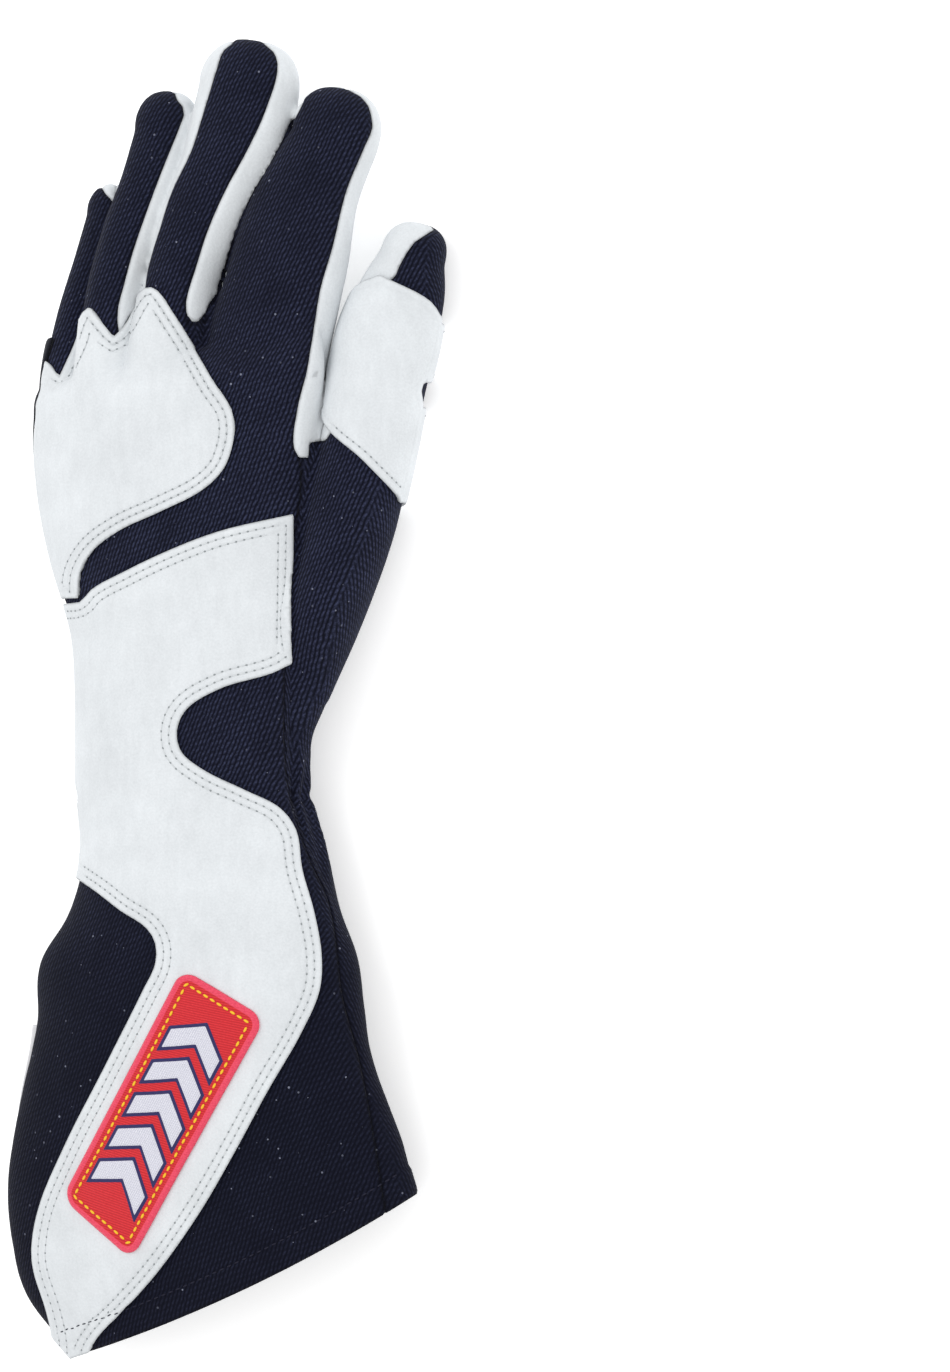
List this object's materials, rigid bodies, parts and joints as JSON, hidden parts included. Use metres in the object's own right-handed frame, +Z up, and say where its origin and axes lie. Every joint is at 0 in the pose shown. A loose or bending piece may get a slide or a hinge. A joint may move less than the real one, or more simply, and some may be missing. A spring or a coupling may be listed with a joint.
{
  "type": "racing glove",
  "caption": "Left driving glove for motor racing with a knitted back, suede palm and patches, a gathered wrist and a long slanted gauntlet.",
  "frame": {"origin": "middle of the glove's bounding box in plan, on the surface that the glove lies on", "axes": "+X to the thumb side, +Y from the hem to the fingertips, +Z up out of the back of the hand; the glove lies palm down"},
  "size_m": [0.1442, 0.402, 0.0463],
  "materials": {
    "knit": "matt knitted fabric",
    "suede": "matt brushed suede",
    "grip": "matt black suede",
    "thread": "embroidered thread",
    "satin": "woven satin"
  },
  "bodies": {
    "root": {"hand_back": "knit", "gauntlet_back": "knit", "thumb_panel": "knit", "gauntlet_side": "knit", "gauntlet_palm": "knit", "palm": "suede", "thumb_front": "suede", "thumb_inner": "suede", "fourchette_little_ring": "suede", "fourchette_ring_middle": "suede", "fourchette_middle_index": "suede", "knuckle_patch": "suede", "forearm_patch": "suede", "thumb_guard": "suede", "grip_patch": "grip", "badge": "thread", "side_label": "satin"}
  },
  "joints": []
}
